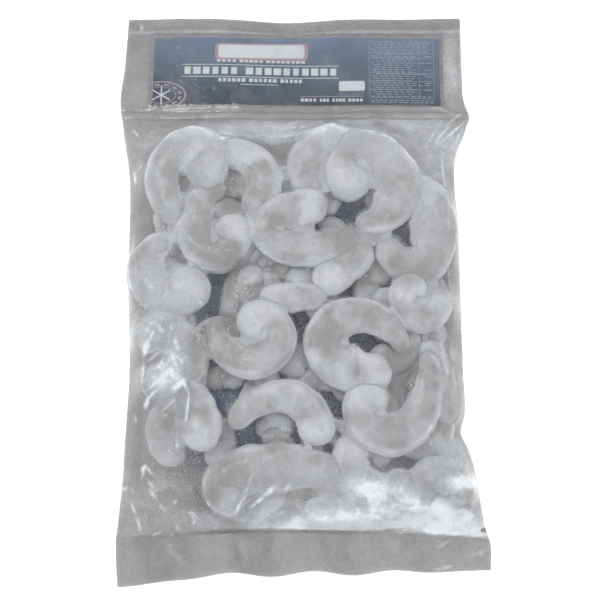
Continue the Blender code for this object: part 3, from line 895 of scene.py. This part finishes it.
for j0 in range(0, nv, FINER):
    for i0 in range(0, nu, FINER):
        ring = [(j0 + j, i0 + i) for j, i in rim_order(FINER, FINER)]
        ring = [numbers[cell] for cell in ring if cell in numbers][::-1]
        rings.setdefault(len(ring), []).append(ring)
under_sets = [np.array(same) for same in rings.values()]
bag = new_piece("film.bag", np.concatenate([points, under]), [cell_quads(nu, nv)] + under_sets,
                [clear_film, back_film], [0] + [1] * len(under_sets))
bag.data.set_sharp_from_angle(angle=math.radians(SHARP_FOLD))

# How clouded the film is: least where it is drawn tight over a prawn, more where it hangs
# loose, at the side folds and in the flat header and flange. Frost takes the flat facets and
# pleats of the crumpled film, and the seals have clear lines. Painted light is added as cloud too:
# a lift over the creases where the film leaves a prawn, painted highlights for the glare off
# facets near the foot seal and at the left side, creases painted white as glints, and painted
# glints over the card.
a, b = on_card(x, y)
over_card = (np.abs(a) < CARD_WIDTH / 2 + 2) & (np.abs(b) < CARD_DEPTH / 2 + 2)
cloud_and_glare = HAZE_TIGHT + (HAZE_FLAT - HAZE_TIGHT) * (1 - body)
cloud_and_glare += HAZE_SIDE * (1 - ease(from_side / 12)) * body
# Painted light over the creases where the film leaves a prawn
cloud_and_glare += HAZE_CREASE_LIGHT * np.exp(-((hang - 3) / 3) ** 2) * body
cloud_and_glare += HAZE_HEAD * ease((y - 58) / 25) * ease(hang / 2) * body
cloud_and_glare += HAZE_GRAIN * (flat_lumps(x, y, 1.4, 33) - 0.5) * (y > TOP_SEAL)
bent_x, bent_y = x + 5 * creases(x, y, 17, 11), y + 5 * creases(x, y, 15, 12)
faces = (0.6 * facets(bent_x, bent_y, 16, 17)
         + 0.4 * facets(bent_x + 0.8 * bent_y, bent_y - 0.5 * bent_x, 9, 18))
past_seal = y - through(FOOT_LINE, x)
# Painted highlights: the thick patches near the foot seal and at the left side whiten the film's
# facets for their glare
for cx, cy, rx, ry, thick in FROST_AND_GLARE:
    cloud_and_glare += thick * blot(x, y, cx, cy, rx, ry) * (0.5 + faces) * ease(past_seal / 1.5)
cloud_and_glare -= 0.12 * np.exp(-((past_seal + 1.2) / 1.1) ** 2)
pleats = creases(x, y * 0.22, 19, 13) + 0.6 * creases(x, y * 0.3, 8, 14)
cloud_and_glare += HAZE_PLEATS * (1 - body) * (pleats - 0.8)
broken = 0.45 + 1.1 * flat_lumps(x, y, 2.2, 15)
# Painted highlights: each crease is whitened along its stroke as its glint
for x0, y0, x1, y1, width, _, glint_white in FOLDS:
    cloud_and_glare += glint_white * stroke(x, y, x0, y0, x1, y1, width) * broken
for line in SEAL_LINES:
    bowed = line - SEAL_SLANT * x + 0.8 * creases(x, 0 * x, 40, 19)
    cloud_and_glare -= 0.3 * np.exp(-((y - bowed) / 0.6) ** 2)
cloud_and_glare -= 0.14 * ease((y - head_edge(x) + TOP_STRIP) / 1.5)
cloud_and_glare += 0.3 * np.exp(-((y - head_edge(x) + TOP_STRIP + 0.8) / 0.8) ** 2)
from_end = np.minimum(y - foot_edge(x), head_edge(x) - y)
cloud_and_glare += HAZE_RIM * np.exp(-(np.minimum(from_side, from_end) / 1.1) ** 2)
# Painted glints: the film over the card takes a little haze and faint bright facets for its glints
haze_and_glints_over_card = HAZE_CARD + 0.09 * facets(bent_x, bent_y, 11, 23) ** 2
cloud_and_glare = np.clip(np.where(over_card, haze_and_glints_over_card, cloud_and_glare), 0.02, 1)
slick = 0.3 + 0.7 * (1 - body) + np.clip(loose, 0, 1) + 0.5 * (1 - ease(from_side / 10))
for name, values in (("haze_and_glare", cloud_and_glare), ("slick", np.clip(slick, 0, 1))):
    paint(bag, name, np.concatenate([values.ravel(), values[inner_at]]))
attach(bag, "root")
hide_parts("prawn_bag")


# Glaze: the water that the prawns were dipped in has frozen the upper ones to each other, and
# lies as a thin white web of ice in the grooves between them. It is the ice that coats the
# prawns, so it has their finish.

GLAZE_SINK = 0.8      # how far below the prawns' tops the glaze stays
GLAZE_THICKNESS = 1.2
GLAZE_CLOSING = 2     # cells by which the grooves are closed, and by which it stays off the rim
GLAZE_SMOOTHING = 3
GLAZE_LUMPS = 0.7
GLAZE_WHITE = 0.6
# Besides the dark gaps, the grooves that no glaze has filled, and how far round each is open
OPEN_GROOVES = (
    (-57.5, 3), (-52.5, -6.5), (47.2, 10.3), (23.7, 9.6), (31, 10), (17, 5), (30, -3),
    (12.7, -16.6), (18, -99.7), (-46, 56), (-63, -46), (61, -57), (14, -106), (1.5, -37.5),
    (-16.5, -61), (24.5, -12), (-24.5, -64), (-45, -86), (66.5, 32), (-66, 20),
)
GROOVE_ROOM = 6.5

tops = rest_on(upper, (nu, nv)) - UNDER_FILM
level = tops
for pick in [np.maximum] * GLAZE_CLOSING + [np.minimum] * GLAZE_CLOSING:
    level = of_nine(level, pick)
held = level > 0
for _ in range(GLAZE_CLOSING):
    held = of_nine(held, np.minimum)
for _ in range(GLAZE_SMOOTHING):
    total, count = sum(nine(level * (level > 0))), sum(nine(1.0 * (level > 0)))
    level = total / np.maximum(count, 1)
level = level - GLAZE_SINK + GLAZE_LUMPS * (flat_lumps(x, y, 3, 31) - 0.5)
level = np.minimum(level, z - UNDER_FILM)
for gap_x, gap_y in DARK_GAPS + OPEN_GROOVES:
    held &= np.hypot(x - gap_x, y - gap_y) > GROOVE_ROOM
shown = of_nine(of_nine((level > tops) & held, np.maximum), np.maximum) & held
cells = cell_quads(nu, nv)
cells = cells[shown.ravel()[cells].all(axis=1)]
used, numbered = np.unique(cells, return_inverse=True)
points = np.stack([x, y, level], axis=-1).reshape(-1, 3)[used]
glaze = new_piece("prawns.glaze", points, [numbered.reshape(-1, 4)], [flesh])
white = GLAZE_WHITE + 0.7 * (lumps(points, 7, 32) - 0.5) - how_bare(points)
paint(glaze, "ice", np.clip(white, 0, 1))
thick = glaze.modifiers.new("thickness", "SOLIDIFY")
thick.thickness, thick.offset = GLAZE_THICKNESS * MM, -1
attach(glaze, "root")
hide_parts("prawn_bag")


# Frost: loose ice shed by the prawns, in grains about a millimetre across. It lies in the
# gaps, on the prawns and in the foot of the bag, thickest in the drifts that it was shaken to.

GRAINS = 6400
GRAIN_SIZE = (0.28, 0.75)   # least and largest half width
GRAIN_REST = 1.1            # height of a grain that lies on the back film
DRIFTS = (
    (83.5, -103.8, 9), (-36, -12.5, 9), (-6, -93.3, 8), (-72, -108, 14), (-30, -140, 16),
    (78, 42, 10),
)
GOLDEN = (1 + math.sqrt(5)) / 2


def grain_shape():
    """The corners of an icosahedron on a unit ball, and its twenty faces."""
    a, b = 1 / math.hypot(1, GOLDEN), GOLDEN / math.hypot(1, GOLDEN)
    corners = np.array([(-a, b, 0), (a, b, 0), (-a, -b, 0), (a, -b, 0), (0, -a, b), (0, a, b),
                        (0, -a, -b), (0, a, -b), (b, 0, -a), (b, 0, a), (-b, 0, -a), (-b, 0, a)])
    sides = np.array([(0, 11, 5), (0, 5, 1), (0, 1, 7), (0, 7, 10), (0, 10, 11), (1, 5, 9),
                      (5, 11, 4), (11, 10, 2), (10, 7, 6), (7, 1, 8), (3, 9, 4), (3, 4, 2),
                      (3, 2, 6), (3, 6, 8), (3, 8, 9), (4, 9, 5), (2, 4, 11), (6, 2, 10),
                      (8, 6, 7), (9, 8, 1)])
    return corners, sides


# Loose frost crystals: white and matte, since each is too small to show a face
frost, tree, place = new_finish("loose frost crystals")
glint = node(tree, "TexNoise", {"Vector": place, "Scale": 900.0, "Detail": 1.0})
tone = node(tree, "Mix", {0: glint, 6: "#C9CDD1", 7: "#F2F4F6"}, data_type="RGBA").outputs[2]
crystal = node(tree, "BsdfPrincipled", {"Base Color": tone, "Roughness": 0.4, "IOR": 1.31})
node(tree, "OutputMaterial", {"Surface": crystal})

draw = np.random.default_rng(21)
spread = np.stack([draw.uniform(-95, 95, GRAINS), draw.uniform(-150, 100, GRAINS)], axis=-1)
drift = draw.integers(0, len(DRIFTS) * 3, GRAINS)
for k, (cx, cy, radius) in enumerate(DRIFTS):
    spread[drift == k] = (cx, cy) + draw.normal(0, radius * 0.55, (np.count_nonzero(drift == k), 2))
gx, gy = spread.T
on_upper = prawn_tops(gx, gy, PRAWNS)
on_lower = prawn_tops(gx, gy, lower)
rest = np.maximum(np.where(on_upper > 0, on_upper - UNDER_FILM, 0),
                  np.where(on_lower > 0, on_lower - UNDER_FILM, GRAIN_REST))
keep = (draw.random(GRAINS) < np.where(on_upper > 0, 0.12, 0.9)) & (in_body(gx, gy) > 0.4)
gx, gy, rest = gx[keep], gy[keep], rest[keep]
corners, sides = grain_shape()
size = draw.uniform(*GRAIN_SIZE, len(gx))[:, None, None] * draw.uniform(0.6, 1.3, (len(gx), 1, 3))
corners = corners * size * draw.uniform(0.8, 1.2, (len(gx), 12, 1))
grains = np.stack([gx, gy, rest], axis=-1)[:, None] + corners
faces = sides[None] + 12 * np.arange(len(gx))[:, None, None]
grains = new_piece("frost.grains", grains.reshape(-1, 3), [faces.reshape(-1, 3)], [frost])
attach(grains, "root")
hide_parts("prawn_bag")


# The header card: coated board, printed dark blue with pale fields, rules and rows of plain
# blocks. It lies loose in the header between the two films.

CARD_CELLS = (88, 24)
PRINT_LIFT = 0.05     # of the ink over the board, twice for the pale ink, which is printed last
PRINT_STEP = 2.5


def card_place(a, b, lift):
    """Points on the card, from distances along and up it: it follows the header's waves."""
    px = CARD_CENTRE[0] + a * math.cos(CARD_TURN) - b * math.sin(CARD_TURN)
    py = CARD_CENTRE[1] + a * math.sin(CARD_TURN) + b * math.cos(CARD_TURN)
    return np.stack([px, py, lay(px, py) + CARD_GAP + lift], axis=-1)


# Coated board, offset printed slate blue, faintly mottled, with the low sheen of the coating. It is
# painted lighter up and to the right and darker to the lower left: a painted sheen of the film's
# reflection over it
board, tree, place = new_finish("coated board, printed slate blue")
split = node(tree, "SeparateXYZ", {"Vector": place}).outputs
# Painted sheen: the blue rises from dark at the lower left to light at the upper right
sheen_and_mottle = node(tree, "Math", {0: split[1], 1: 14.0, 2: -1.88}, operation="MULTIPLY_ADD")
sheen_and_mottle = node(tree, "Math", {0: split[0], 1: 1.0, 2: sheen_and_mottle}, operation="MULTIPLY_ADD")
mottle = node(tree, "TexNoise", {"Vector": place, "Scale": 40.0, "Detail": 4.0})
sheen_and_mottle = node(tree, "Math", {0: mottle, 1: 0.7, 2: sheen_and_mottle}, operation="MULTIPLY_ADD", use_clamp=True)
blue = node(tree, "Mix", {0: sheen_and_mottle, 6: "#0A1C30", 7: "#7C94AE"}, data_type="RGBA").outputs[2]
coated = node(tree, "BsdfPrincipled", {"Base Color": blue, "Roughness": 0.42,
                                       "Specular IOR Level": 0.25})
node(tree, "OutputMaterial", {"Surface": coated})


def ink_of(name, first, second):
    """A flat printed ink, mottled a little between two colours as a dot screen does."""
    finish, tree, place = new_finish(name)
    screen = node(tree, "TexNoise", {"Vector": place, "Scale": 300.0, "Detail": 2.0})
    tone = node(tree, "Mix", {0: screen, 6: first, 7: second}, data_type="RGBA").outputs[2]
    printed = node(tree, "BsdfPrincipled", {"Base Color": tone, "Roughness": 0.4})
    node(tree, "OutputMaterial", {"Surface": printed})
    return finish


INKS = [ink_of("pale ink", "#D3D6DA", "#DEE1E4"), ink_of("pink grey ink", "#A68F9C", "#B7A2AC"),
        ink_of("slate ink", "#55647A", "#606F84"), ink_of("thin pale ink", "#9AA8BA", "#A8B4C4")]
PALE, PINK, SLATE, LINE = 0, 1, 2, 3

a, b = np.meshgrid(np.linspace(-0.5, 0.5, CARD_CELLS[0] + 1) * CARD_WIDTH,
                   np.linspace(-0.5, 0.5, CARD_CELLS[1] + 1) * CARD_DEPTH)
top, low = card_place(a, b, CARD_THICKNESS).reshape(-1, 3), card_place(a, b, 0).reshape(-1, 3)
cells = cell_quads(*CARD_CELLS)
rim = np.array([j * (CARD_CELLS[0] + 1) + i for j, i in rim_order(*CARD_CELLS)])
ahead = np.roll(rim, -1)
edge = np.stack([rim + len(top), ahead + len(top), ahead, rim], axis=-1)
card = new_piece("card.board", np.concatenate([top, low]),
                 [cells, cells[:, ::-1] + len(top), edge], [board])
card.data.set_sharp_from_angle(angle=math.radians(50))
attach(card, "root")
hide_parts("label_card")


def field_shape(a, b, width, depth, corner=0.0, turn=0.0):
    """A printed field: a rectangle with round corners, as rows between its two long sides."""
    count = max(int(width / PRINT_STEP), 2)
    s = np.linspace(-1, 1, count + 1) * width / 2
    if corner:
        bend = corner * np.cos(np.linspace(0, math.pi / 2, 6))[:-1]
        s = np.concatenate([-width / 2 + corner - bend, s[np.abs(s) < width / 2 - corner * 1.02],
                            (width / 2 - corner + bend)[::-1]])
    over = np.clip(np.abs(s) - (width / 2 - corner), 0, corner)
    half = depth / 2 - corner + np.sqrt(np.maximum(corner ** 2 - over ** 2, 0))
    t = np.linspace(-1, 1, 5)[:, None]
    along, up = np.broadcast_to(s, (5, len(s))), t * half
    a, b = (a + along * math.cos(turn) - up * math.sin(turn),
            b + along * math.sin(turn) + up * math.cos(turn))
    return [(a, b, cell_quads(len(s) - 1, 4))]


def ring_shape(a, b, inner_half, outer_half, start=0.0, end=math.tau, count=64):
    """A printed ring or disc: rows between an inner and an outer oval."""
    t = np.linspace(start, end, count + 1)
    r = np.linspace(0, 1, 3)[:, None]
    half_a = inner_half[0] + (outer_half[0] - inner_half[0]) * r
    half_b = inner_half[1] + (outer_half[1] - inner_half[1]) * r
    return [(a + half_a * np.cos(t), b + half_b * np.sin(t), cell_quads(count, 2)[:, ::-1])]


def block_row(a, b, width, depth, groups, seed, turn=0.0, wide=0.9):
    """A printed row of plain blocks in groups of unlike lengths: the blocks are about wide
    times as wide as they are tall, with a gap after each."""
    draw = np.random.default_rng(seed)
    lengths = draw.uniform(0.6, 1.5, groups)
    space = depth * 0.75
    lengths *= (width - space * (groups - 1)) / lengths.sum()
    starts = np.concatenate([[0], np.cumsum(lengths + space)[:-1]]) - width / 2
    made = []
    for start, length in zip(starts, lengths):
        count = max(round(length / (depth * wide * 1.25)), 1)
        step = length / count
        for k in range(count):
            block = step * draw.uniform(0.6, 0.86)
            s, tall = start + (k + 0.5) * step, depth * draw.uniform(0.9, 1)
            made += field_shape(a + s * math.cos(turn), b + s * math.sin(turn),
                                block, tall, 0, turn)
    return made


SLOPE = -0.012        # of the printed rows on the board
MARK = (-90, -17.4)   # centre of the round mark at the card's left end
shapes = {PALE: [], PINK: [], SLATE: [], LINE: []}
for ink, shape, *sizes in (
        (PINK, field_shape, -23.3, 13.4, 62.7, 12.1, 2.6),
        (PALE, field_shape, -23.3, 13.6, 58.0, 9.6, 1.8),
        (PALE, block_row, -23.6, 6.4, 60, 1.9, 3, 3, SLOPE, 1.5),
        (PALE, field_shape, -23.9, 3.6, 105.5, 0.55, 0, SLOPE),
        (PALE, block_row, -23.9, -0.6, 104, 5.4, 2, 8, SLOPE),
        (PALE, field_shape, -23.9, -4.9, 105.5, 0.55, 0, SLOPE),
        (PALE, block_row, -24, -7.2, 57, 2.6, 3, 5, SLOPE),
        (PALE, block_row, -24.6, -10.3, 25, 0.7, 3, 6, SLOPE),
        (PALE, field_shape, 37.4, -11.1, 17.3, 7.0, 1.3),
        (SLATE, field_shape, 37.4, -16.3, 17.3, 3.2),
        (PINK, field_shape, 24.0, -18.3, 42, 0.6, 0, SLOPE),
        (PALE, block_row, 24.0, -20.9, 42, 2.2, 4, 9, SLOPE)):
    shapes[ink] += shape(*sizes)
for b in (21.1, 12.6, 9.3, -1.7, -7.4, -13.4, -19.5):
    shapes[LINE] += field_shape(70.8, b, 43.6, 0.28)
for a in (49.1, 82.8, 92.5):
    shapes[LINE] += field_shape(a, 0.8, 0.3, 40.6)
for k, b in enumerate(np.linspace(20.0, -18.4, 25)):
    full = b > 13 or k % 5 == 4
    middle, width = (70.6, 41.5) if full else (65.6, 31.5)
    shapes[LINE] += block_row(middle, b, width - 3 * (k % 3), 0.6, 4, 20 + k, 0, 5.5)
    if not full and k % 3 == 0:
        shapes[LINE] += field_shape(88.6, b, 4.5, 0.6)
for k, b in enumerate((-21.2, -22.6)):
    shapes[LINE] += block_row(71, b, 43, 0.55, 5, 50 + k, 0, 5)
for inner_half, outer_half in (((15.4, 8.9), (16.7, 9.9)), ((9.4, 5.6), (10.0, 6.1))):
    shapes[PINK] += ring_shape(*MARK, inner_half, outer_half)
for k in range(12):
    t = math.tau * (k + 0.2) / 12
    shapes[PINK] += ring_shape(*MARK, (11.6, 6.8), (13.6, 8.0), t, t + 0.3, 6)
for k in range(3):
    shapes[PALE] += field_shape(*MARK, 13.6, 0.9, 0, math.radians(30 + 60 * k))
shapes[PINK] += field_shape(0, CARD_DEPTH / 2 - 0.35, CARD_WIDTH - 0.4, 0.5)
shapes[PINK] += field_shape(-CARD_WIDTH / 2 + 0.35, 0, 0.5, CARD_DEPTH - 0.4)

# Each ink ends at the board's edges
half_width, half_depth = CARD_WIDTH / 2, CARD_DEPTH / 2
points, face_sets, inked, count = [], [], [], 0
for ink, made in shapes.items():
    for a, b, quads in made:
        a, b = np.broadcast_arrays(a, b)
        outside = (np.abs(a) > half_width) | (np.abs(b) > half_depth)
        a, b = np.clip(a, -half_width, half_width), np.clip(b, -half_depth, half_depth)
        lift = CARD_THICKNESS + PRINT_LIFT * (1 + (ink == PALE))
        points.append(card_place(a, b, lift).reshape(-1, 3))
        face_sets.append(quads[~outside.ravel()[quads].all(axis=1)] + count)
        inked.append(ink)
        count += len(points[-1])
print_piece = new_piece("card.print", np.concatenate(points), face_sets, INKS, inked)
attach(print_piece, "root")
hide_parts("label_card")
